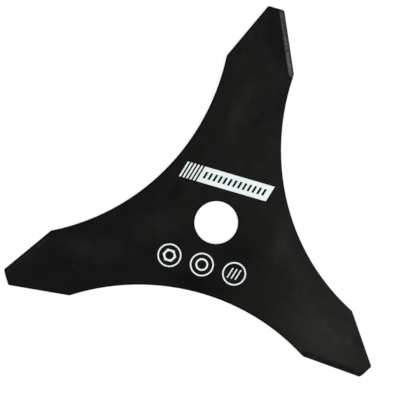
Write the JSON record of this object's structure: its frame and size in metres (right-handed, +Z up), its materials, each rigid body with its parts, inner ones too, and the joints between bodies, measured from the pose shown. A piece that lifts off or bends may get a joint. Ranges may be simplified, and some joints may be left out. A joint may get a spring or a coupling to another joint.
{
  "type": "brush cutter blade",
  "caption": "Flat steel brush cutter blade with tapered, blunt-tipped arms, concave sides between them, ground cutting edges and a round central bore.",
  "frame": {"origin": "centre of the bore on the lower face", "axes": "+Z up along the bore through the flat plate, +Y along one arm, +X across the widest pair of arm tips"},
  "size_m": [0.225, 0.1952, 0.0016],
  "materials": {
    "black_coat": "satin"
  },
  "bodies": {
    "root": {"blade": "black_coat"}
  },
  "joints": []
}
